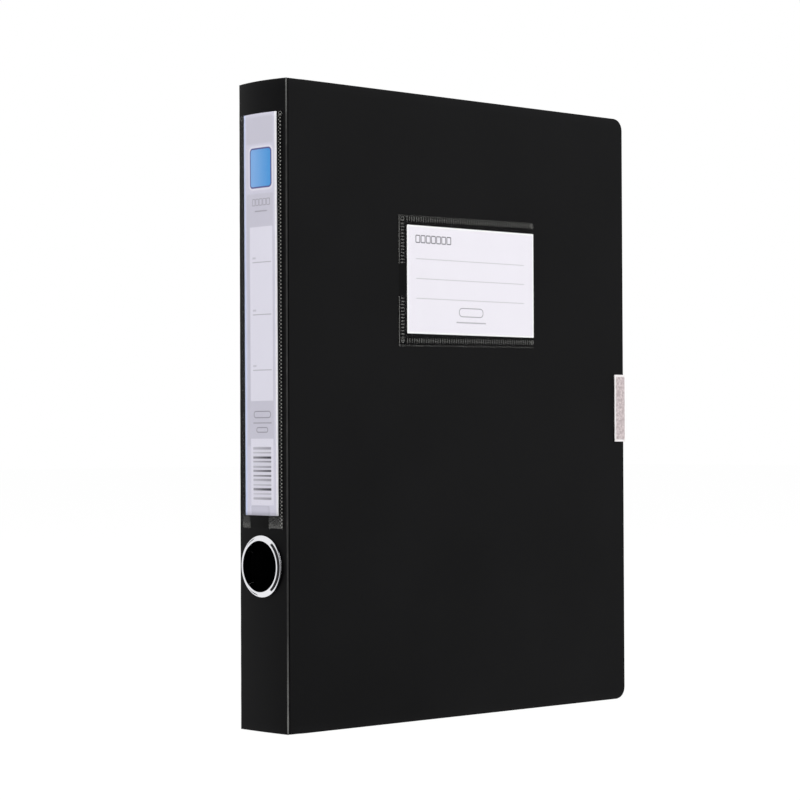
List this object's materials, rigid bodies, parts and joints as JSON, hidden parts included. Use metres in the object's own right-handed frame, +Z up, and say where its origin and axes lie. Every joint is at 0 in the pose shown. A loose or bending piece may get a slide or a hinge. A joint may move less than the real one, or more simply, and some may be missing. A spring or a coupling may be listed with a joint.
{
  "type": "upright document box",
  "caption": "Slim upright A4 document box folded from black plastic sheet, with a hinged front cover, a bowed spine with a metal finger ring, film label pockets and a closing tab.",
  "frame": {"origin": "middle of the bottom wall's outside face, on which the box stands", "axes": "+Z up, front cover towards -Y, spine towards -X, fore edge towards +X"},
  "size_m": [0.2402, 0.036, 0.31],
  "materials": {
    "black_sheet": "fine satin polypropylene sheet",
    "clear_film": "clear soft film with knurled welds",
    "label_paper": "smooth white paper with grey writing rules",
    "spine_paper": "smooth lavender-grey printed paper",
    "ring_chrome": "bright chrome plate",
    "backing_steel": "plain nickel-plated steel",
    "hook_tape": "woven hook tape, warm grey",
    "loop_tape": "napped loop tape, warm grey",
    "rivet_plastic": "moulded black plastic"
  },
  "bodies": {
    "tray": {"tray": "black_sheet", "loop_pad": "loop_tape", "rivet_head_lower": "rivet_plastic", "rivet_cap_lower": "rivet_plastic", "rivet_head_upper": "rivet_plastic", "rivet_cap_upper": "rivet_plastic"},
    "spine": {"spine": "black_sheet", "spine_label": "spine_paper", "spine_pocket_film": "clear_film", "finger_ring": "ring_chrome", "ring_backing": "backing_steel"},
    "cover": {"front_cover": "black_sheet", "front_label": "label_paper", "front_pocket_film": "clear_film", "closing_tab": "hook_tape"}
  },
  "joints": [
    {"name": "spine_crease", "type": "hinge", "parent": "tray", "child": "spine", "pos_m": [-0.1175, 0.017, 0], "axis": [0, 0, -1], "range_deg": [0, 90]},
    {"name": "cover_crease", "type": "hinge", "parent": "spine", "child": "cover", "pos_m": [-0.1175, -0.017, 0], "axis": [0, 0, -1], "range_deg": [0, 180]}
  ]
}
